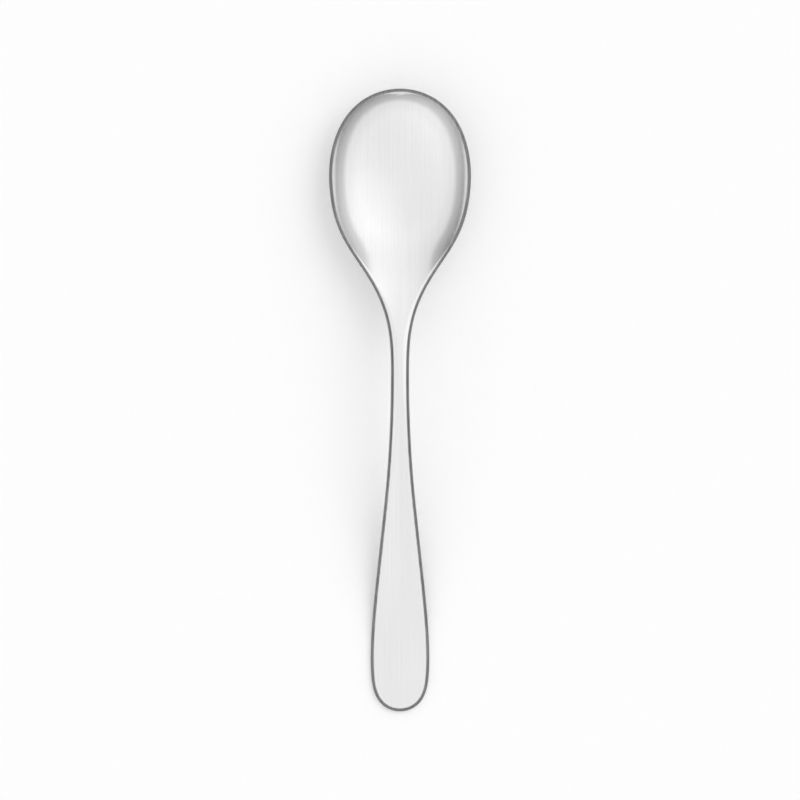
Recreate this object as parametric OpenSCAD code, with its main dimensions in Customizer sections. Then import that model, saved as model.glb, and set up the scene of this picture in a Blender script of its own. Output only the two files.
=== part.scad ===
// Soup spoon pressed from a single piece of steel: a broad egg-shaped bowl, a slim raised neck and a
// flat handle that widens to a round tail. It lies on a table with its bowl open upwards.
// Sizes are in millimetres. The tip of the bowl points to +Y, and the origin is on the table, under the
// middle of the spoon. "Along" always means the distance from the tip of the bowl towards the tail.

/* [Overall] */
// Length from the tip of the bowl to the end of the tail
overall_length = 200; // [185:1:230]

/* [Bowl, seen from above] */
// Greatest width of the bowl
bowl_width = 45.6; // [36:0.2:54]
// Distance from the tip to the greatest width
bowl_widest_at = 28; // [22:0.2:36]
// How square the tip is, where 0 is half an ellipse
tip_fullness = 0.17; // [0:0.01:0.6]
// Distance from the tip to the shoulder, where the side turns from bulging to hollow
shoulder_at = 55.4; // [46:0.2:66]
// Width across the shoulder
shoulder_width = 27.6; // [20:0.2:34]
// Angle between the side and the centre line at the shoulder
shoulder_angle = 33.7; // [24:0.1:42]

/* [Neck and handle, seen from above] */
// Distance from the tip to the narrowest place
neck_at = 91.8; // [80:0.2:104]
// Width at the narrowest place
neck_width = 5.9; // [4.6:0.1:9]
// Radius of the hollow sides at the narrowest place
neck_radius = 370; // [150:5:900]
// Distance from the tip to the grip, where the sides of the handle run straight
grip_at = 139.8; // [124:0.2:152]
// Width at the grip
grip_width = 11.5; // [9:0.1:15]
// Angle between each side and the centre line at the grip
grip_angle = 6.15; // [3:0.05:8]
// Greatest width of the tail
tail_width = 18.9; // [14:0.1:25]
// Length of the rounded end, from the greatest width of the tail to its end
tail_length = 17.1; // [11:0.1:24]
// How square the end of the tail is, where 0 is half an ellipse
tail_fullness = 0.72; // [0:0.01:0.9]

/* [Side view] */
// Depth of the bowl, from its rim down to the bottom of the dish
bowl_depth = 10.2; // [6:0.1:15]
// How round the hollow is, where 0 is a parabola
bowl_roundness = 0.25; // [0:0.01:0.5]
// Rise of the rim from the tip to the shoulder
shoulder_rise = 1.1; // [0:0.1:3]
// Slope of the rim at the shoulder, in degrees
shoulder_pitch = 8; // [2:0.1:14]
// Radius of the upward sweep from the shoulder into the neck
sweep_radius = 130; // [80:1:400]
// Distance from the tip to the crest, the highest place of the handle
crest_at = 97; // [86:0.2:108]
// Height of the crest above the table, on top
crest_height = 20.6; // [16:0.1:28]
// Radius of the arch at the crest
crest_radius = 95; // [60:1:300]
// Height of the underside above the table at the grip
grip_height = 9; // [6:0.1:13]
// Downward slope of the handle at the grip, in degrees
grip_pitch = 16.2; // [10:0.1:20]
// Length of the level stretch at the end of the tail
land_length = 13; // [8:0.1:20]
// Depth ground off the underside of that stretch, for a true flat that lies on the table
land_depth = 0.05; // [0.02:0.01:0.2]

/* [Gauge of the metal] */
// Thickness of the rim of the bowl
rim_thickness = 1.2; // [0.8:0.05:2]
// Thickness at the bottom of the bowl
bowl_thickness = 1.6; // [1:0.05:2.6]
// Distance from the tip up to which the bowl keeps its gauge
rolled_to = 42; // [30:0.2:52]
// Thickness of the neck
neck_thickness = 3.7; // [2.6:0.05:5]
// Width of the flat on the top and the underside of the neck
neck_flat = 0.8; // [0.4:0.1:2]
// Thickness at the edges of the handle, at the grip
grip_edge = 2.1; // [1.4:0.05:3]
// Thickness at the edges of the tail
tail_edge = 1.8; // [1.2:0.05:2.6]
// How far the middle of the handle stands above its edges, on top
handle_crown = 0.45; // [0:0.05:1]
// Width of the rounding along the edges of the handle
handle_round = 1; // [0.4:0.05:2]

/* [Hidden] */

// Half the widths, as the outline uses them
bowl_half = bowl_width / 2;
tail_half = tail_width / 2;
tail_start = overall_length - tail_length;
land_start = overall_length - land_length;
land_mid = tail_edge / 2 - land_depth;

// Where the middle line of the grid starts behind the tip, and ends before the tail, as shares
spine_share = 0.45;
tip_spine = spine_share * bowl_widest_at;
tail_spine = tail_start + (1 - spine_share) * tail_length;

// Number of steps round the tip, along each stretch of the side, and round the tail
tip_steps = 16;
side_steps = [12, 16, 12, 12];
tail_steps = 14;
// Number of steps from the edge to the middle line, and round the edge
across_steps = 9;
edge_steps = 6;
// Step for measuring a slope, and for finding the lowest place of the bowl
probe = 0.01;
scan = 0.1;

// Smooth change from 0 to 1 that starts and ends level
function ease(t) = let (u = min(max(t, 0), 1)) u * u * u * (u * (6 * u - 15) + 10);

// Value that changes smoothly along the spoon, from knots that each hold a distance and a value
function graded(along, knots, k = 0) =
    along <= knots[k][0] || k == len(knots) - 1 ? knots[k][1] :
    along >= knots[k + 1][0] ? graded(along, knots, k + 1) :
    let (share = ease((along - knots[k][0]) / (knots[k + 1][0] - knots[k][0])))
    knots[k][1] + (knots[k + 1][1] - knots[k][1]) * share;

// Fair curve between two knots that each hold a distance, a value, a slope and a bend
function fair(along, from, to) =
    let (run = to[0] - from[0], t = (along - from[0]) / run)
    let (rise = to[1] - from[1], v0 = from[2] * run, v1 = to[2] * run)
    let (b0 = from[3] * run * run / 2, b1 = to[3] * run * run / 2)
    let (c3 = 10 * rise - 6 * v0 - 4 * v1 - 3 * b0 + b1)
    let (c4 = -15 * rise + 8 * v0 + 7 * v1 + 3 * b0 - 2 * b1)
    let (c5 = 6 * rise - 3 * v0 - 3 * v1 - b0 + b1)
    from[1] + t * (v0 + t * (b0 + t * (c3 + t * (c4 + t * c5))));

// Fair curve through a whole row of knots
function fair_through(along, knots, k = 0) =
    k == len(knots) - 2 || along <= knots[k + 1][0] ? fair(along, knots[k], knots[k + 1]) :
    fair_through(along, knots, k + 1);

// Square of the half width of a rounded end, at a reach from its widest place
function end_square(reach, half, length, fullness) =
    let (q = pow(reach / length, 2)) half * half * (1 - q) * (1 + fullness * q);
// Bend of that rounded end where it meets the side
function end_bend(half, length, fullness) = half * (fullness - 1) / (length * length);

// Outline from the widest place of the bowl to that of the tail
side_knots = [
    [bowl_widest_at, bowl_half, 0, end_bend(bowl_half, bowl_widest_at, tip_fullness)],
    [shoulder_at, shoulder_width / 2, -tan(shoulder_angle), 0],
    [neck_at, neck_width / 2, 0, 1 / neck_radius],
    [grip_at, grip_width / 2, tan(grip_angle), 0],
    [tail_start, tail_half, 0, end_bend(tail_half, tail_length, tail_fullness)]
];

// Square of the half width of the whole outline
function half_square(along) =
    along < bowl_widest_at ? end_square(bowl_widest_at - along, bowl_half, bowl_widest_at, tip_fullness) :
    along > tail_start ? end_square(along - tail_start, tail_half, tail_length, tail_fullness) :
    pow(fair_through(along, side_knots), 2);

// Half the thickness at the edge, the width of the edge rounding, and the extra thickness of the middle
edge_knots = [
    [rolled_to, rim_thickness / 2],
    [neck_at, neck_thickness / 2],
    [grip_at, grip_edge / 2],
    [land_start, tail_edge / 2]
];
round_knots = [
    [rolled_to, rim_thickness / 2],
    [neck_at, (neck_width - neck_flat) / 2],
    [grip_at, handle_round]
];
bowl_swell = (bowl_thickness - rim_thickness) / 2;
top_swell_knots = [[rolled_to, bowl_swell], [neck_at, 0], [grip_at, handle_crown]];
under_swell_knots = [[rolled_to, bowl_swell], [neck_at, 0]];

// Depth of the dish below the line of the rim
function dish_form(q) = q * (1 + bowl_roundness * (1 - q));
function dish(x, along) =
    let (fade = 1 - ease((along - shoulder_at) / (neck_at - shoulder_at)))
    fade == 0 ? 0 : bowl_depth * fade * dish_form((half_square(along) - x * x) / (bowl_half * bowl_half));

// Line of the rim from the tip to the shoulder, measured from the tip
rim_start = [0, 0, 0, 0];
rim_end = [shoulder_at, shoulder_rise, tan(shoulder_pitch), 1 / sweep_radius];
// Height of the rim at the tip that sets the bottom of the bowl on the table
rim_height = bowl_thickness / 2
    + max([for (along = [0 : scan : shoulder_at]) dish(0, along) - fair(along, rim_start, rim_end)]);

// Line of the middle of the metal in the side view, from the tip to the level stretch of the tail
crest_mid = crest_height - graded(crest_at, edge_knots) - graded(crest_at, top_swell_knots);
grip_mid = grip_height + grip_edge / 2;
backbone_knots = [
    [0, rim_height, 0, 0],
    [shoulder_at, rim_height + rim_end[1], rim_end[2], rim_end[3]],
    [crest_at, crest_mid, 0, -1 / crest_radius],
    [grip_at, grip_mid, -tan(grip_pitch), 0],
    [land_start, land_mid, 0, 0]
];
function backbone(along) = along >= land_start ? land_mid : fair_through(along, backbone_knots);

// Height of the middle of the metal at a place in plan, given as [x, along]
function middle(p) = backbone(p[1]) - dish(p[0], p[1]);
function slope_x(p) = (middle(p + [probe, 0]) - middle(p - [probe, 0])) / (2 * probe);
function slope_along(p) = (middle(p + [0, probe]) - middle(p - [0, probe])) / (2 * probe);

function unit(v) = v / norm(v);
// Direction in plan, straight out of the outline
function outward(x, along) =
    unit([2 * x, (half_square(along - probe) - half_square(along + probe)) / (2 * probe)]);

// Point of the face at a place in plan: the middle of the metal, lifted square to it
function face_point(p, lift) =
    let (up = unit([-slope_x(p), -slope_along(p), 1]))
    [p[0], p[1], middle(p)] + lift * up;

// Point of the rounded edge: turn 90 is the upper face, 0 the outermost line and -90 the underside
function edge_point(p, out, turn) =
    let (sx = slope_x(p), sa = slope_along(p))
    let (up = unit([-sx, -sa, 1]), side = unit([out[0], out[1], out[0] * sx + out[1] * sa]))
    [p[0], p[1], middle(p)]
        + graded(p[1], edge_knots) * sin(turn) * up
        + graded(p[1], round_knots) * cos(turn) * side;

// Half thickness towards the upper face or the underside, at a share of the way from edge to middle
function half_gauge(along, share, swell_knots) =
    graded(along, edge_knots) + graded(along, swell_knots) * ease(share);

// Right half of the section at one station, from the top over the edge to the underside
function half_section(along, spine) =
    let (x = sqrt(max(half_square(along), 0)), out = outward(x, along))
    let (rim = [x, along] - graded(along, round_knots) * out, middle_line = [0, spine])
    let (shares = [for (k = [0 : across_steps]) k / across_steps])
    let (places = [for (share = shares) rim + share * (middle_line - rim)])
    concat(
        [for (k = [across_steps : -1 : 0])
            face_point(places[k], half_gauge(places[k][1], shares[k], top_swell_knots))],
        [for (k = [1 : edge_steps - 1]) edge_point(rim, out, 90 - 180 * k / edge_steps)],
        [for (k = [0 : across_steps])
            face_point(places[k], -half_gauge(places[k][1], shares[k], under_swell_knots))]
    );

// Stations from the tip to the tail, each with its distance along the outline and the middle line
stretch_ends = [for (knot = side_knots) knot[0]];
stations = concat(
    [for (i = [0 : tip_steps - 1]) let (share = i / tip_steps)
        [bowl_widest_at * (1 - cos(90 * share)), tip_spine + share * (bowl_widest_at - tip_spine)]],
    [for (k = [0 : len(side_steps) - 1]) for (i = [0 : side_steps[k] - 1])
        let (along = stretch_ends[k] + i / side_steps[k] * (stretch_ends[k + 1] - stretch_ends[k]))
        [along, along]],
    [for (i = [0 : tail_steps]) let (share = i / tail_steps)
        [tail_start + tail_length * sin(90 * share), tail_start + share * (tail_spine - tail_start)]]
);
last_station = len(stations) - 1;

half_count = 2 * across_steps + edge_steps + 1;
ring_count = 2 * half_count - 2;

// Place in the spoon's own frame
function placed(p, side) = [side * p[0], overall_length / 2 - p[1], p[2]];

// Points of all the sections, each a closed ring that starts at the middle of the upper face
spoon_points = [
    for (station = stations)
        let (half = half_section(station[0], station[1]))
        for (k = [0 : ring_count - 1])
            k < half_count ? placed(half[k], 1) : placed(half[ring_count - k], -1)
];

// Number of a ring's point. The first and last rings lie flat on the middle plane, so there the left
// half shares the points of the right half.
function point_number(ring, k) =
    let (slot = k % ring_count)
    let (shared = (ring == 0 || ring == last_station) && slot >= half_count)
    ring * ring_count + (shared ? ring_count - slot : slot);

// Which way a cell between neighbouring rings is split. The splits are alike on the right and on the left,
// and fan out from both ends of the middle line, so that no triangle lies in the middle plane.
function split_rising(ring, k) =
    let (right = k < half_count - 1, slot = right ? k : ring_count - 1 - k)
    let (upper = slot < half_count / 2, near_tip = ring < last_station / 2)
    (upper == near_tip) == right;

// Two triangles for each cell
spoon_faces = [
    for (ring = [0 : last_station - 1]) for (k = [0 : ring_count - 1])
        let (a = point_number(ring, k), b = point_number(ring, k + 1))
        let (c = point_number(ring + 1, k + 1), d = point_number(ring + 1, k))
        for (triangle = split_rising(ring, k) ? [[a, b, c], [a, c, d]] : [[a, b, d], [b, c, d]])
            triangle
];

// What is ground off under the tail: everything below the table, from the grip to past the end
module tail_grinding() {
    reach = tail_width;
    translate([-reach, -overall_length / 2 - reach, -reach])
        cube([2 * reach, overall_length - grip_at + reach, reach]);
}

// The whole spoon: bowl, neck and handle in one continuous body of metal
module spoon() {
    color("gainsboro") difference() {
        polyhedron(points = spoon_points, faces = spoon_faces, convexity = 6);
        tail_grinding();
    }
}

spoon();
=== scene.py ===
"""Polished steel soup spoon, lying on a pale table and seen from straight above.

The spoon is a single piece of metal. Its form has an outline seen from above, a line seen from the
side, a dished bowl and a changing gauge. Its mesh is a grid of cells that is wrapped round the right
half of the form and mirrored. Sizes are in metres, angles that are set are in degrees, and "along"
always means the distance from the tip of the bowl towards the tail.
"""

import logging
import math
from dataclasses import dataclass
from enum import Enum
from functools import cached_property
from typing import ClassVar, NamedTuple

import bmesh
import bpy
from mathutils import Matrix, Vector


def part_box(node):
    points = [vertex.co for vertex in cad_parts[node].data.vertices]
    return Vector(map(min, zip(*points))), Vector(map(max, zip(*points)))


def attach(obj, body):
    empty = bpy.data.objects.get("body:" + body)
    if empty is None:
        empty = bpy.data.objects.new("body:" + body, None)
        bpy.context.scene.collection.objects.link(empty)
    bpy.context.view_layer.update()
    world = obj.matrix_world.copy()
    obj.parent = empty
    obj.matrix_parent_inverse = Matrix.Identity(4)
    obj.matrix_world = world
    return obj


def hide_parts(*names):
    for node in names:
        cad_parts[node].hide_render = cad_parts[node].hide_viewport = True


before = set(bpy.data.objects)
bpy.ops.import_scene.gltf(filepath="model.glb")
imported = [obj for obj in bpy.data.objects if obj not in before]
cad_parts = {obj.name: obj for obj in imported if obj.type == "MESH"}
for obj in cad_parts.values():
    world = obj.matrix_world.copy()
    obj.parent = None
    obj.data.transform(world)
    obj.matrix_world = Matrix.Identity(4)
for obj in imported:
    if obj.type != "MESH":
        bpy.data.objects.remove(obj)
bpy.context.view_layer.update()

LOG = logging.getLogger("soup_spoon")
SPOON_NODE = "spoon"
BODY = "root"
EDGE_SHARE = "edge_share"
QUARTER_TURN = math.pi / 2.0

# Types: a colour, a socket of a node, and what a socket can be fed
Color = tuple[float, float, float]
Socket = bpy.types.NodeSocket
Feed = Socket | float | tuple[float, ...] | Vector


class Face(Enum):
    """The two broad faces of the metal, with the direction in which each lies from its middle."""

    UPPER = 1.0
    UNDER = -1.0


class Calculation(Enum):
    """The ways in which patterns are joined, by Blender's names."""

    MULTIPLY = "MULTIPLY"
    MULTIPLY_ADD = "MULTIPLY_ADD"
    MAXIMUM = "MAXIMUM"


@dataclass(frozen=True)
class Knot:
    """A place along the spoon and the value there, with the slope and the bend of a fair curve."""

    along: float
    value: float
    slope: float = 0.0
    bend: float = 0.0


def ease(share: float) -> float:
    """Turn a share, held between 0 and 1, into one that is level at both ends."""
    held = min(max(share, 0.0), 1.0)
    return held ** 3 * (held * (6.0 * held - 15.0) + 10.0)


class FairCurve:
    """A value that changes smoothly along the spoon, with the slopes and bends of its knots."""

    def __init__(self, *knots: Knot) -> None:
        """Keep the knots, in order along the spoon."""
        self.knots = knots

    def at(self, along: float) -> float:
        """Give the value at a distance from the tip.

        Args:
            along: Distance from the tip of the bowl.

        Returns:
            The value there, which is constant before the first knot and after the last.
        """
        held = min(max(along, self.knots[0].along), self.knots[-1].along)
        pairs = zip(self.knots, self.knots[1:])
        start, end = next(pair for pair in pairs if held <= pair[1].along)
        run = end.along - start.along
        share = (held - start.along) / run
        rise = end.value - start.value
        slope_a = start.slope * run
        slope_b = end.slope * run
        bend_a = start.bend * run * run / 2.0
        bend_b = end.bend * run * run / 2.0
        # Terms of the curve of the fifth degree that meets both knots
        third = 10.0 * rise - 6.0 * slope_a - 4.0 * slope_b - 3.0 * bend_a + bend_b
        fourth = -15.0 * rise + 8.0 * slope_a + 7.0 * slope_b + 3.0 * bend_a - 2.0 * bend_b
        fifth = 6.0 * rise - 3.0 * slope_a - 3.0 * slope_b - bend_a + bend_b
        upper_terms = third + share * (fourth + share * fifth)
        return start.value + share * (slope_a + share * (bend_a + share * upper_terms))


@dataclass(frozen=True)
class RoundedEnd:
    """The rounded tip or tail of the outline: half its width, its length and how square it is."""

    half: float
    length: float
    fullness: float

    def square(self, reach: float) -> float:
        """Square of the half width, at a reach from the widest place."""
        share = (reach / self.length) ** 2
        return self.half ** 2 * (1.0 - share) * (1.0 + self.fullness * share)

    @property
    def bend(self) -> float:
        """Bend of the outline where the end meets the side."""
        return self.half * (self.fullness - 1.0) / self.length ** 2


@dataclass(frozen=True)
class Outline:
    """The outline seen from above: egg-shaped bowl, slim neck, and handle with a round tail."""

    overall_length: float
    bowl_width: float
    bowl_widest_at: float = 0.028
    tip_fullness: float = 0.17
    shoulder_at: float = 0.0554
    shoulder_width: float = 0.0276
    shoulder_angle: float = 33.7
    neck_at: float = 0.0918
    neck_width: float = 0.0059
    neck_radius: float = 0.37
    grip_at: float = 0.1398
    grip_width: float = 0.0115
    grip_angle: float = 6.15
    tail_width: float = 0.0189
    tail_length: float = 0.0171
    tail_fullness: float = 0.72

    @cached_property
    def tip(self) -> RoundedEnd:
        """Rounded tip of the bowl, up to its widest place."""
        return RoundedEnd(self.bowl_width / 2.0, self.bowl_widest_at, self.tip_fullness)

    @cached_property
    def tail(self) -> RoundedEnd:
        """Rounded tail of the handle, past its widest place."""
        return RoundedEnd(self.tail_width / 2.0, self.tail_length, self.tail_fullness)

    @property
    def tail_start(self) -> float:
        """Where the rounding of the tail starts."""
        return self.overall_length - self.tail_length

    @cached_property
    def side(self) -> FairCurve:
        """Draw the side of the outline from the widest place of the bowl to that of the tail.

        Returns:
            The curve of the half width.
        """
        shoulder_slope = -math.tan(math.radians(self.shoulder_angle))
        grip_slope = math.tan(math.radians(self.grip_angle))
        return FairCurve(
            Knot(self.bowl_widest_at, self.tip.half, 0.0, self.tip.bend),
            Knot(self.shoulder_at, self.shoulder_width / 2.0, shoulder_slope),
            Knot(self.neck_at, self.neck_width / 2.0, 0.0, 1.0 / self.neck_radius),
            Knot(self.grip_at, self.grip_width / 2.0, grip_slope),
            Knot(self.tail_start, self.tail.half, 0.0, self.tail.bend),
        )

    def half_square(self, along: float) -> float:
        """Square of the half width at a distance from the tip.

        Args:
            along: Distance from the tip of the bowl.

        Returns:
            The square, which falls below zero just past either end.
        """
        if along < self.bowl_widest_at:
            return self.tip.square(self.bowl_widest_at - along)
        if along > self.tail_start:
            return self.tail.square(along - self.tail_start)
        return self.side.at(along) ** 2


@dataclass(frozen=True)
class SideView:
    """The line of the metal seen from the side: rim of the bowl, raised neck, arch and level tail.

    The land is the level stretch of the tail, which is ground flat underneath by land_depth.
    """

    crest_height: float
    bowl_depth: float = 0.0102
    bowl_roundness: float = 0.25
    shoulder_rise: float = 0.0011
    shoulder_pitch: float = 8.0
    sweep_radius: float = 0.13
    crest_at: float = 0.097
    crest_radius: float = 0.095
    grip_height: float = 0.009
    grip_pitch: float = 16.2
    land_length: float = 0.013
    land_depth: float = 0.00005


@dataclass(frozen=True)
class Gauge:
    """The thickness of the metal, the rounding of its edges and the dark band along them: a ground
    finish with painted dark reflection.

    The band is band_width wide on the upper face. On the rounded edge it ends where the metal faces
    band_foot above level, and a turn by band_turn there counts as its width.
    """

    rim_thickness: float = 0.0012
    bowl_thickness: float = 0.0016
    rolled_to: float = 0.042
    neck_thickness: float = 0.0037
    neck_flat: float = 0.0008
    grip_edge: float = 0.0021
    tail_edge: float = 0.0018
    handle_crown: float = 0.00045
    handle_round: float = 0.001
    band_width: float = 0.00119
    band_foot: float = 2.0
    band_turn: float = 60.0


class Station(NamedTuple):
    """Distances from the tip at which a section meets the outline and the middle line."""

    along: float
    spine: float


@dataclass(frozen=True)
class EdgeLine:
    """How the metal ends where a section meets the outline.

    The border, the start of the rounding and the outward direction are in plan, as across and along.
    The tilt of the metal there is in radians.
    """

    border: Vector
    start: Vector
    outward: Vector
    tilt: float


@dataclass(frozen=True)
class SectionPoint:
    """A point of a section, with its distance from the outline as a share of the dark band of ground
    finish and painted dark reflection.
    """

    position: Vector
    edge_share: float


class SpoonForm:
    """The form of the spoon: where its metal lies at every place of the plan."""

    # Step for measuring a slope, and number of steps for finding the bottom of the bowl
    PROBE: ClassVar[float] = 10e-6
    SCAN_STEPS: ClassVar[int] = 600
    # Power that crowds the cells of a face towards its edge
    EDGE_CROWDING: ClassVar[float] = 1.5

    def __init__(self, outline: Outline, side_view: SideView, gauge: Gauge) -> None:
        """Work out the curves of the form from its sizes.

        Args:
            outline: Sizes seen from above.
            side_view: Sizes seen from the side.
            gauge: Thicknesses and edge roundings.
        """
        self.outline = outline
        self.side_view = side_view
        self.gauge = gauge
        self.land_start = outline.overall_length - side_view.land_length
        self.land_middle = gauge.tail_edge / 2.0 - side_view.land_depth
        rim = gauge.rim_thickness / 2.0
        swell = (gauge.bowl_thickness - gauge.rim_thickness) / 2.0
        self.edge_half = FairCurve(
            Knot(gauge.rolled_to, rim),
            Knot(outline.neck_at, gauge.neck_thickness / 2.0),
            Knot(outline.grip_at, gauge.grip_edge / 2.0),
            Knot(self.land_start, gauge.tail_edge / 2.0),
        )
        self.edge_round = FairCurve(
            Knot(gauge.rolled_to, rim),
            Knot(outline.neck_at, (outline.neck_width - gauge.neck_flat) / 2.0),
            Knot(outline.grip_at, gauge.handle_round),
        )
        self.swell = {
            Face.UPPER: FairCurve(
                Knot(gauge.rolled_to, swell),
                Knot(outline.neck_at, 0.0),
                Knot(outline.grip_at, gauge.handle_crown),
            ),
            Face.UNDER: FairCurve(Knot(gauge.rolled_to, swell), Knot(outline.neck_at, 0.0)),
        }
        self.backbone = self._draw_backbone()

    def _draw_backbone(self) -> FairCurve:
        """Draw the line of the middle of the metal from the tip to the level stretch of the tail.

        Returns:
            The curve, at the height that sets the bottom of the bowl on the table.
        """
        view = self.side_view
        shoulder_at = self.outline.shoulder_at
        shoulder_slope = math.tan(math.radians(view.shoulder_pitch))
        shoulder = Knot(shoulder_at, view.shoulder_rise, shoulder_slope, 1.0 / view.sweep_radius)
        rim_line = FairCurve(Knot(0.0, 0.0), shoulder)
        steps = [shoulder_at * step / self.SCAN_STEPS for step in range(self.SCAN_STEPS + 1)]
        deepest = max(self.dish(0.0, along) - rim_line.at(along) for along in steps)
        rim_height = self.gauge.bowl_thickness / 2.0 + deepest
        crest_half = self.edge_half.at(view.crest_at) + self.swell[Face.UPPER].at(view.crest_at)
        return FairCurve(
            Knot(0.0, rim_height),
            Knot(shoulder_at, rim_height + shoulder.value, shoulder.slope, shoulder.bend),
            Knot(view.crest_at, view.crest_height - crest_half, 0.0, -1.0 / view.crest_radius),
            Knot(
                self.outline.grip_at,
                view.grip_height + self.gauge.grip_edge / 2.0,
                -math.tan(math.radians(view.grip_pitch)),
            ),
            Knot(self.land_start, self.land_middle),
        )

    def dish(self, x: float, along: float) -> float:
        """Depth of the bowl's hollow below the line of the rim.

        Args:
            x: Distance from the middle plane.
            along: Distance from the tip.

        Returns:
            The depth, which fades out between the shoulder and the neck.
        """
        outline = self.outline
        fade = 1.0 - ease((along - outline.shoulder_at) / (outline.neck_at - outline.shoulder_at))
        if fade == 0.0:
            return 0.0
        share = (outline.half_square(along) - x * x) / outline.tip.half ** 2
        roundness = self.side_view.bowl_roundness
        return self.side_view.bowl_depth * fade * share * (1.0 + roundness * (1.0 - share))

    def middle(self, x: float, along: float) -> float:
        """Height of the middle of the metal above the table."""
        return self.backbone.at(along) - self.dish(x, along)

    def middle_point(self, place: Vector) -> Vector:
        """Point in the middle of the metal at a place in plan, as across, along and height."""
        return Vector((*place, self.middle(*place)))

    def slopes(self, place: Vector) -> Vector:
        """Slopes of the middle of the metal.

        Args:
            place: Place in plan: distance from the middle plane, and along the spoon.

        Returns:
            The slope across and the slope along.
        """
        x, along = place
        step = self.PROBE
        across = self.middle(x + step, along) - self.middle(x - step, along)
        lengthwise = self.middle(x, along + step) - self.middle(x, along - step)
        return Vector((across, lengthwise)) / (2.0 * step)

    def upward(self, place: Vector) -> Vector:
        """Direction square to the middle of the metal at a place in plan."""
        slope_x, slope_along = self.slopes(place)
        return Vector((-slope_x, -slope_along, 1.0)).normalized()

    def edge_line(self, along: float) -> EdgeLine:
        """Find how the metal ends at the outline.

        Args:
            along: Where a section meets the outline.

        Returns:
            The place on the outline, the start and direction of the rounding, and the tilt there.
        """
        step = self.PROBE
        x = math.sqrt(max(self.outline.half_square(along), 0.0))
        narrowing = self.outline.half_square(along - step) - self.outline.half_square(along + step)
        outward = Vector((2.0 * x, narrowing / (2.0 * step))).normalized()
        border = Vector((x, along))
        start = border - self.edge_round.at(along) * outward
        return EdgeLine(border, start, outward, math.atan(outward.dot(self.slopes(start))))

    def face_point(self, place: Vector, share: float, face: Face) -> Vector:
        """Point of a broad face, lifted square to the middle of the metal.

        Args:
            place: Place in plan: distance from the middle plane, and along the spoon.
            share: Share of the way from the edge to the middle line.
            face: Upper face or underside.

        Returns:
            The point, as across, along and height.
        """
        along = place.y
        half = self.edge_half.at(along) + self.swell[face].at(along) * ease(share)
        return self.middle_point(place) + face.value * half * self.upward(place)

    def edge_point(self, edge: EdgeLine, turn: float) -> Vector:
        """Point of the rounded edge.

        Args:
            edge: How the metal ends at the outline.
            turn: Angle in radians, a quarter turn at the upper face and minus that at the underside.

        Returns:
            The point, as across, along and height.
        """
        along = edge.start.y
        out = Vector((*edge.outward, math.tan(edge.tilt))).normalized()
        rise = self.edge_half.at(along) * math.sin(turn)
        reach = self.edge_round.at(along) * math.cos(turn)
        return self.middle_point(edge.start) + rise * self.upward(edge.start) + reach * out

    def section_point(self, edge: EdgeLine, position: Vector, turn: float) -> SectionPoint:
        """Measure how far into the dark band of ground finish and painted dark reflection a point lies.
        The band is on what is seen from above.

        Args:
            edge: How the metal ends at the outline.
            position: The point, as across, along and height.
            turn: Angle in radians of its surface, as for the rounded edge.

        Returns:
            The point with its share, 0 at the outline and over 1 past the band.
        """
        reach = (edge.border - position.xy).dot(edge.outward)
        upper = reach / self.gauge.band_width
        drop = math.radians(self.gauge.band_foot) - (turn + edge.tilt)
        lower = 1.0 + drop / math.radians(self.gauge.band_turn)
        return SectionPoint(position, max(upper, lower))

    def half_section(self, station: Station, across: int, around: int) -> list[SectionPoint]:
        """Right half of the section at one station.

        Args:
            station: Where the section meets the outline and the middle line.
            across: Number of steps from the edge to the middle line.
            around: Number of steps round the edge.

        Returns:
            Points from the middle of the upper face over the edge to the middle of the underside.
        """
        edge = self.edge_line(station.along)
        spine = Vector((0.0, station.spine))
        shares = [(step / across) ** self.EDGE_CROWDING for step in range(across + 1)]
        places = [(share, edge.start.lerp(spine, share)) for share in shares]
        start, end = QUARTER_TURN, -QUARTER_TURN
        turns = [start + (end - start) * step / around for step in range(1, around)]
        upper = [(self.face_point(place, share, Face.UPPER), start) for share, place in places]
        rounding = [(self.edge_point(edge, turn), turn) for turn in turns]
        under = [(self.face_point(place, share, Face.UNDER), end) for share, place in places]
        points = upper[::-1] + rounding + under
        return [self.section_point(edge, position, turn) for position, turn in points]


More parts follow.
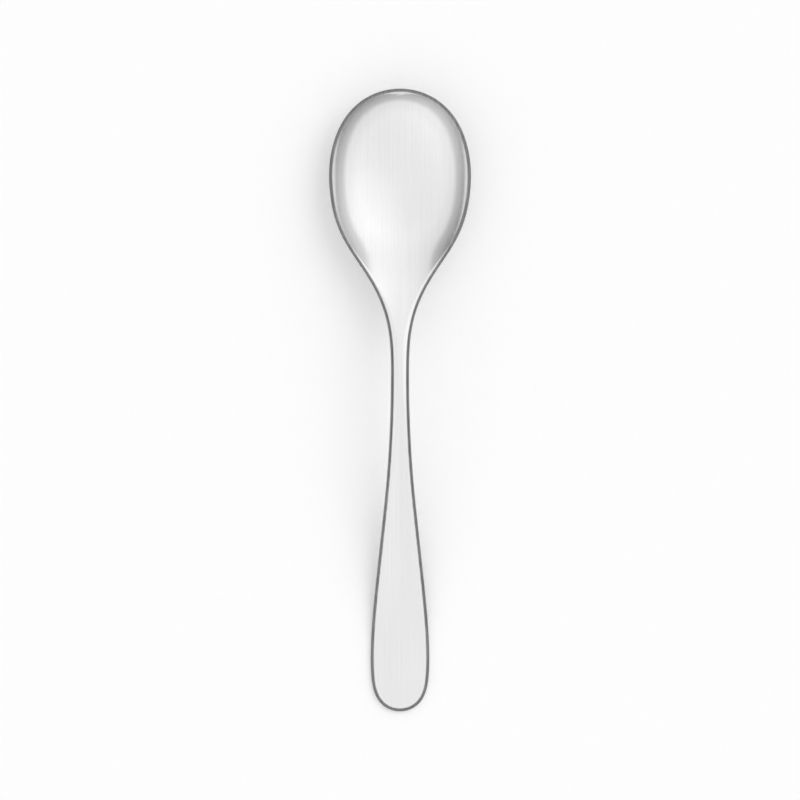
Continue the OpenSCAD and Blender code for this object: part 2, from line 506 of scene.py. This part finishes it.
class NodeSheet:
    """The node tree of a material or of the sky, with short ways to add and join its nodes."""

    def __init__(self, owner: bpy.types.Material | bpy.types.World) -> None:
        """Take over the node tree and clear it.

        Args:
            owner: The material or sky.
        """
        owner.use_nodes = True
        self.tree = owner.node_tree
        self.tree.nodes.clear()
        self.is_sky = isinstance(owner, bpy.types.World)

    def feed(self, socket: Socket, value: Feed) -> None:
        """Give a socket its value.

        Args:
            socket: Input of a node.
            value: The value, or the socket of another node that feeds it.
        """
        if isinstance(value, Socket):
            self.tree.links.new(value, socket)
        else:
            socket.default_value = value

    def add(self, kind: str, **inputs: Feed) -> bpy.types.Node:
        """Add a node and fill its sockets.

        Args:
            kind: Blender's name for the kind of node.
            **inputs: Socket names, with _ for a space, and their values or the sockets that feed them.

        Returns:
            The node.
        """
        node = self.tree.nodes.new(kind)
        for name, value in inputs.items():
            self.feed(node.inputs[name.replace("_", " ")], value)
        return node

    def calculate(self, operation: Calculation, *terms: Feed) -> Socket:
        """Join numbers or sockets by a calculation.

        Args:
            operation: The calculation.
            *terms: Its numbers or sockets, in order.

        Returns:
            The socket with the result.
        """
        node = self.tree.nodes.new("ShaderNodeMath")
        node.operation = operation.value
        for socket, term in zip(node.inputs, terms):
            self.feed(socket, term)
        return node.outputs[0]

    def along(self, vector: Socket, direction: Vector) -> Socket:
        """Measure a vector along a direction.

        Args:
            vector: Socket with the vector.
            direction: The direction, of any length.

        Returns:
            The socket with the measure.
        """
        node = self.tree.nodes.new("ShaderNodeVectorMath")
        node.operation = "DOT_PRODUCT"
        self.feed(node.inputs[0], vector)
        self.feed(node.inputs[1], direction.normalized())
        return node.outputs["Value"]

    def weigh(self, base: Socket | float, *parts: tuple[Socket, float]) -> Socket:
        """Add patterns, each times its weight, to a base.

        Args:
            base: Number or socket to start from.
            *parts: Each pattern's socket with its weight.

        Returns:
            The socket with the sum.
        """
        total = base
        for pattern, weight in parts:
            total = self.calculate(Calculation.MULTIPLY_ADD, pattern, weight, total)
        return total

    def ramp(self, value: Socket, start: float, end: float) -> Socket:
        """Turn a value into a smooth share.

        Args:
            value: Socket with the value.
            start: Value at which the share is 0.
            end: Value at which the share is 1.

        Returns:
            The socket with the share.
        """
        falls = start > end
        node = self.add(
            "ShaderNodeMapRange",
            Value=value,
            From_Min=min(start, end),
            From_Max=max(start, end),
            To_Min=1.0 if falls else 0.0,
            To_Max=0.0 if falls else 1.0,
        )
        node.interpolation_type = "SMOOTHSTEP"
        return node.outputs["Result"]

    def blend(self, share: Socket, first: Color | Socket, second: Color | Socket) -> Socket:
        """Mix two colours.

        Args:
            share: Socket, 0 for the first colour and 1 for the second.
            first: Red, green and blue of the first colour, or the socket that gives it.
            second: Red, green and blue of the second colour, or the socket that gives it.

        Returns:
            The socket with the mixed colour.
        """
        node = self.tree.nodes.new("ShaderNodeMix")
        node.data_type = "RGBA"
        self.feed(node.inputs["Factor"], share)
        sockets = [socket for socket in node.inputs if socket.type == "RGBA"]
        for socket, color in zip(sockets, (first, second)):
            self.feed(socket, (*color, 1.0) if isinstance(color, tuple) else color)
        return next(socket for socket in node.outputs if socket.type == "RGBA")

    def finish(self, shader: bpy.types.Node) -> None:
        """Send a shader to the output of the tree."""
        kind = "ShaderNodeOutputWorld" if self.is_sky else "ShaderNodeOutputMaterial"
        self.add(kind, Surface=shader.outputs[0])


@dataclass(frozen=True)
class Grain:
    """A noise pattern fixed to the piece: patches per metre in X, Y and Z, finer layers, and turn."""

    stretch: tuple[float, float, float]
    detail: float
    turn: float = 0.0

    def draw(self, sheet: NodeSheet) -> Socket:
        """Add the pattern to a material.

        Args:
            sheet: Node tree of the material.

        Returns:
            The socket with the noise, about 0.5 on average.
        """
        mapping = sheet.add(
            "ShaderNodeMapping",
            Vector=sheet.add("ShaderNodeTexCoord").outputs["Object"],
            Rotation=(0.0, 0.0, math.radians(self.turn)),
            Scale=tuple(1.0 / count for count in self.stretch),
        )
        mapping.vector_type = "TEXTURE"
        place = mapping.outputs["Vector"]
        noise = sheet.add("ShaderNodeTexNoise", Vector=place, Scale=1.0, Detail=self.detail)
        return noise.outputs["Fac"]


@dataclass(frozen=True)
class Hairlines:
    """One lot of short fine scratches: how they lie, and how high the grain is where they show."""

    grain: Grain
    level: float
    softness: float = 0.06

    def draw(self, sheet: NodeSheet) -> Socket:
        """Add the scratches to a material, as a share from 0 to 1."""
        return sheet.ramp(self.grain.draw(sheet), self.level, self.level + self.softness)


@dataclass(frozen=True)
class SteelMarks:
    """Sockets of the patterns in the steel, from which its colour, roughness and relief are mixed."""

    clouds: Socket
    lines: Socket
    waves: Socket
    grind: Socket
    scratched: Socket
    edge: Socket


@dataclass(frozen=True)
class PolishedSteel:
    """Bright polished steel: mirror faces with buffing lines and fine scratches, and a ground edge
    darkened by painted dark reflection.

    Heights and depths are those of the fine relief. A range gives the values of a grain between which
    one colour turns into the other.
    """

    name: str = "polished_steel"
    face_color: Color = (0.9, 0.9, 0.895)
    buffed_color: Color = (0.865, 0.866, 0.868)
    scratch_color: Color = (0.87, 0.87, 0.87)
    # Edge colours: a ground finish painted dark, standing in for the edge's dark reflection
    ground_edge_and_shade_color: Color = (0.195, 0.191, 0.195)
    worn_edge_and_shade_color: Color = (0.265, 0.26, 0.265)
    face_roughness: float = 0.04
    cloud_roughness: float = 0.07
    line_roughness: float = 0.03
    scratch_roughness: float = 0.1
    edge_roughness: float = 0.05
    wave_height: float = 12e-6
    line_height: float = 0.3e-6
    scratch_depth: float = 0.4e-6
    grind_height: float = 1.8e-6
    edge_fade: float = 0.3
    edge_raggedness: float = 0.14
    buffed_range: tuple[float, float] = (0.3, 0.75)
    worn_range: tuple[float, float] = (0.35, 0.65)
    clouds: Grain = Grain((60.0, 40.0, 30.0), 4.0)
    lines: Grain = Grain((3600.0, 30.0, 30.0), 2.0)
    waves: Grain = Grain((110.0, 80.0, 60.0), 1.0)
    grind: Grain = Grain((2600.0, 110.0, 1600.0), 3.0)
    wiping: Hairlines = Hairlines(Grain((12000.0, 220.0, 220.0), 0.0, 9.0), 0.66)
    stirring: Hairlines = Hairlines(Grain((11000.0, 260.0, 260.0), 0.0, -27.0), 0.69)

    def marks(self, sheet: NodeSheet) -> SteelMarks:
        """Draw the patterns in the steel.

        Args:
            sheet: Node tree of the material.

        Returns:
            The sockets of the patterns.
        """
        grind = self.grind.draw(sheet)
        share = sheet.add("ShaderNodeAttribute")
        share.attribute_name = EDGE_SHARE
        ragged = sheet.weigh(share.outputs["Fac"], (grind, self.edge_raggedness))
        border = 1.0 + self.edge_raggedness / 2.0
        scratches = [hairlines.draw(sheet) for hairlines in (self.wiping, self.stirring)]
        return SteelMarks(
            clouds=self.clouds.draw(sheet),
            lines=self.lines.draw(sheet),
            waves=self.waves.draw(sheet),
            grind=grind,
            scratched=sheet.calculate(Calculation.MAXIMUM, *scratches),
            edge=sheet.ramp(ragged, border, border - self.edge_fade),
        )

    def color(self, sheet: NodeSheet, marks: SteelMarks) -> Socket:
        """Mix the colour: buffed and scratched faces, and the ground edge darkened by painted dark
        reflection.

        Args:
            sheet: Node tree of the material.
            marks: Sockets of the patterns.

        Returns:
            The socket with the colour.
        """
        buffing = sheet.ramp(marks.lines, *self.buffed_range)
        buffed = sheet.blend(buffing, self.face_color, self.buffed_color)
        marked = sheet.blend(marks.scratched, buffed, self.scratch_color)
        wear = sheet.ramp(marks.grind, *self.worn_range)
        # The edge's painted dark reflection, patchy with the grind grain
        worn_edge_and_shade = sheet.blend(wear, self.ground_edge_and_shade_color, self.worn_edge_and_shade_color)
        return sheet.blend(marks.edge, marked, worn_edge_and_shade)

    def roughness(self, sheet: NodeSheet, marks: SteelMarks) -> Socket:
        """Mix the roughness.

        Args:
            sheet: Node tree of the material.
            marks: Sockets of the patterns.

        Returns:
            The socket with the roughness.
        """
        return sheet.weigh(
            self.face_roughness,
            (marks.clouds, self.cloud_roughness),
            (marks.lines, self.line_roughness),
            (marks.scratched, self.scratch_roughness),
            (marks.edge, self.edge_roughness),
        )

    def relief(self, sheet: NodeSheet, marks: SteelMarks) -> Socket:
        """Mix the fine relief of the surface.

        Args:
            sheet: Node tree of the material.
            marks: Sockets of the patterns.

        Returns:
            The socket with the surface's direction.
        """
        height = sheet.weigh(
            0.0,
            (marks.waves, self.wave_height),
            (marks.lines, self.line_height),
            (marks.scratched, -self.scratch_depth),
            (sheet.calculate(Calculation.MULTIPLY, marks.grind, marks.edge), self.grind_height),
        )
        bump = sheet.add("ShaderNodeBump", Height=height, Strength=1.0, Distance=1.0)
        return bump.outputs["Normal"]

    def material(self) -> bpy.types.Material:
        """Build the material.

        Returns:
            The finished material.
        """
        metal = bpy.data.materials.new(self.name)
        sheet = NodeSheet(metal)
        marks = self.marks(sheet)
        shader = sheet.add(
            "ShaderNodeBsdfPrincipled",
            Base_Color=self.color(sheet, marks),
            Metallic=1.0,
            Roughness=self.roughness(sheet, marks),
            Normal=self.relief(sheet, marks),
        )
        sheet.finish(shader)
        return metal


@dataclass(frozen=True)
class PaleTable:
    """Matt pale surface that the spoon lies on."""

    name: str = "pale_table"
    color: Color = (0.97, 0.97, 0.97)
    roughness: float = 0.9

    def material(self) -> bpy.types.Material:
        """Build the material.

        Returns:
            The finished material.
        """
        surface = bpy.data.materials.new(self.name)
        sheet = NodeSheet(surface)
        shader = sheet.add(
            "ShaderNodeBsdfPrincipled",
            Base_Color=(*self.color, 1.0),
            Roughness=self.roughness,
            Specular_IOR_Level=0.0,
        )
        sheet.finish(shader)
        return surface


def finished_object(bm: bmesh.types.BMesh, name: str) -> bpy.types.Object:
    """Turn a working mesh into an object of the scene.

    Args:
        bm: The working mesh, which is freed.
        name: Name of the object and of its mesh.

    Returns:
        The object, at the origin.
    """
    mesh = bpy.data.meshes.new(name)
    bm.to_mesh(mesh)
    bm.free()
    thing = bpy.data.objects.new(name, mesh)
    bpy.context.scene.collection.objects.link(thing)
    return thing


@dataclass
class PressedSpoon:
    """The spoon's metal: one mesh, wrapped round the form and dressed in its finish.

    The middle line of its cells ends short of the tip and the tail, by spine_share of each rounded end.
    """

    # Half the side of the flat grid that is wrapped
    GRID_HALF: ClassVar[float] = 0.5
    form: SpoonForm
    steel: PolishedSteel
    tip_y: float
    name: str = "spoon_metal"
    tip_steps: int = 40
    side_steps: tuple[int, ...] = (30, 40, 30, 30)
    tail_steps: int = 36
    across_steps: int = 24
    edge_steps: int = 14
    spine_share: float = 0.45
    weld: float = 1e-6

    def stations(self) -> list[Station]:
        """Place the sections from the tip to the tail.

        Returns:
            The stations, in order.
        """
        outline = self.form.outline
        widest = outline.bowl_widest_at
        tail_start = outline.tail_start
        tip_spine = self.spine_share * widest
        tail_spine = outline.overall_length - self.spine_share * outline.tail_length
        places: list[Station] = []
        for step in range(self.tip_steps):
            share = step / self.tip_steps
            along = widest * (1.0 - math.cos(share * QUARTER_TURN))
            places.append(Station(along, tip_spine + share * (widest - tip_spine)))
        knots = outline.side.knots
        for count, start, end in zip(self.side_steps, knots, knots[1:]):
            for step in range(count):
                along = start.along + step / count * (end.along - start.along)
                places.append(Station(along, along))
        for step in range(self.tail_steps + 1):
            share = step / self.tail_steps
            along = tail_start + outline.tail_length * math.sin(share * QUARTER_TURN)
            places.append(Station(along, tail_start + share * (tail_spine - tail_start)))
        return places

    def placed(self, point: SectionPoint) -> Vector:
        """Turn a section's point into the spoon's own frame, with the flat ground under the tail.

        Args:
            point: Point of a section.

        Returns:
            The place of the vertex.
        """
        x, along, height = point.position
        if along > self.form.outline.grip_at:
            height = max(height, 0.0)
        return Vector((x, self.tip_y - along, height))

    def wrap_right_half(self, bm: bmesh.types.BMesh) -> None:
        """Wrap a grid of cells round the right half of the form.

        Args:
            bm: Empty mesh to make the cells in.
        """
        steps = (self.across_steps, self.edge_steps)
        halves = [self.form.half_section(station, *steps) for station in self.stations()]
        columns = len(halves) - 1
        rows = len(halves[0]) - 1
        edge_share = bm.verts.layers.float.new(EDGE_SHARE)
        bmesh.ops.create_grid(bm, x_segments=columns, y_segments=rows, size=self.GRID_HALF)
        for vertex in bm.verts:
            half = halves[round((vertex.co.x + self.GRID_HALF) * columns)]
            point = half[round((vertex.co.y + self.GRID_HALF) * rows)]
            vertex.co = self.placed(point)
            vertex[edge_share] = point.edge_share

    def build(self) -> bpy.types.Object:
        """Make the right half of the spoon, and mirror it to the left half.

        Returns:
            The spoon's object, at the origin.
        """
        bm = bmesh.new()
        self.wrap_right_half(bm)
        right_half = [*bm.verts, *bm.edges, *bm.faces]
        bmesh.ops.mirror(bm, geom=right_half, axis="X", merge_dist=self.weld)
        # At each end of the middle line a left and a right cell share two edges, and become one cell
        line_ends = [vertex for vertex in bm.verts if len(vertex.link_edges) == 2]
        bmesh.ops.dissolve_verts(bm, verts=line_ends)
        bmesh.ops.recalc_face_normals(bm, faces=bm.faces)
        for cell in bm.faces:
            cell.smooth = True
        return finished_object(bm, self.name)

    def dress(self, piece: bpy.types.Object) -> None:
        """Give the piece its finish and tie it to the frame.

        Args:
            piece: The spoon's object.
        """
        piece.data.materials.append(self.steel.material())
        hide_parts(SPOON_NODE)
        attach(piece, BODY)
        mesh = piece.data
        LOG.info("%s: %d vertices, %d faces", self.name, len(mesh.vertices), len(mesh.polygons))


@dataclass(frozen=True)
class SkyStop:
    """Brightness of the dome at one height, given as the sine of the angle above the horizon."""

    height: float
    light: float


@dataclass
class Studio:
    """The table, the soft light and the camera straight above.

    The sky is a dome whose light goes by height. It has a glow round the lamp's direction, is brighter
    on that side by its lean, and is shaded in two opposite corners. The picture's width follows from
    the spoon's length and the pixels that it spans, at scale_height, and its middle is at center_y.
    """

    WHITE: ClassVar[tuple[float, ...]] = (1.0, 1.0, 1.0, 1.0)
    table: PaleTable
    spoon_length: float
    table_radius: float = 8.0
    table_sides: int = 96
    sky: tuple[SkyStop, ...] = (
        SkyStop(0.0, 0.37),
        SkyStop(0.18, 0.58),
        SkyStop(0.36, 0.91),
        SkyStop(0.62, 0.96),
        SkyStop(1.0, 0.92),
    )
    glow_light: float = 0.05
    glow_edge: float = 38.0
    glow_core: float = 8.0
    lean: float = 0.05
    corner_shade: float = 0.2
    key_spread: float = 38.0
    key_place: tuple[float, float, float] = (0.9, 0.7, 1.3)
    key_light: float = 0.42
    lens: float = 500.0
    sensor: float = 36.0
    picture_pixels: int = 800
    spoon_pixels: int = 623
    scale_height: float = 0.0061
    center_y: float = 0.00012
    view_reach: float = 100.0

    def build(self) -> None:
        """Make the table, the light and the camera."""
        self._table()
        self._sky()
        self._key()
        self._camera()

    def _table(self) -> None:
        """Lay the pale table under the spoon."""
        bm = bmesh.new()
        bmesh.ops.create_circle(
            bm, cap_ends=True, segments=self.table_sides, radius=self.table_radius
        )
        top = finished_object(bm, "table_top")
        top.data.materials.append(self.table.material())

    def _sky(self) -> None:
        """Light the scene from a white dome that is dim near the horizon."""
        dome = bpy.data.worlds.new("studio_dome")
        bpy.context.scene.world = dome
        sheet = NodeSheet(dome)
        direction = sheet.add("ShaderNodeTexCoord").outputs["Generated"]
        parts = sheet.add("ShaderNodeSeparateXYZ", Vector=direction).outputs
        ramp = sheet.add("ShaderNodeValToRGB", Fac=parts["Z"])
        ramp.color_ramp.interpolation = "EASE"
        stops = ramp.color_ramp.elements
        while len(stops) < len(self.sky):
            stops.new(1.0)
        for stop, band in zip(stops, self.sky):
            stop.position = band.height
            stop.color = (band.light, band.light, band.light, 1.0)
        lamp = Vector(self.key_place)
        nearness = sheet.along(direction, lamp)
        edge = math.cos(math.radians(self.glow_edge))
        core = math.cos(math.radians(self.glow_core))
        light = sheet.weigh(
            ramp.outputs["Color"],
            (sheet.ramp(nearness, edge, core), self.glow_light),
            (sheet.along(direction, Vector((lamp.x, lamp.y, 0.0))), self.lean),
            (sheet.calculate(Calculation.MULTIPLY, parts["X"], parts["Y"]), self.corner_shade),
        )
        shader = sheet.add("ShaderNodeBackground", Color=self.WHITE, Strength=light)
        sheet.finish(shader)

    def _key(self) -> None:
        """Add soft light from above, right of the bowl. The metal mirrors the dome's glow instead."""
        lamp = bpy.data.lights.new("soft_key", "SUN")
        lamp.angle = math.radians(self.key_spread)
        lamp.energy = self.key_light
        key = bpy.data.objects.new("soft_key", lamp)
        key.location = self.key_place
        key.visible_glossy = False
        key.rotation_euler = (-Vector(self.key_place)).to_track_quat("-Z", "Y").to_euler()
        bpy.context.scene.collection.objects.link(key)

    def _camera(self) -> None:
        """Set the camera straight above, with the bowl at the top of the picture."""
        lens = bpy.data.cameras.new("view_from_above")
        lens.lens = self.lens
        lens.sensor_width = self.sensor
        lens.sensor_fit = "HORIZONTAL"
        lens.clip_end = self.view_reach
        camera = bpy.data.objects.new("view_from_above", lens)
        view_width = self.spoon_length * self.picture_pixels / self.spoon_pixels
        distance = view_width * self.lens / self.sensor
        camera.location = (0.0, self.center_y, self.scale_height + distance)
        bpy.context.scene.collection.objects.link(camera)
        bpy.context.scene.camera = camera


def main() -> None:
    """Build the spoon, then the studio."""
    logging.basicConfig(level=logging.INFO, format="%(name)s: %(message)s")
    bpy.context.scene.view_settings.view_transform = "Standard"
    low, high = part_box(SPOON_NODE)
    width, length, height = high - low
    form = SpoonForm(Outline(length, width), SideView(height), Gauge())
    spoon = PressedSpoon(form, PolishedSteel(), high.y)
    spoon.dress(spoon.build())
    Studio(PaleTable(), length).build()


if __name__ == "__main__":
    main()
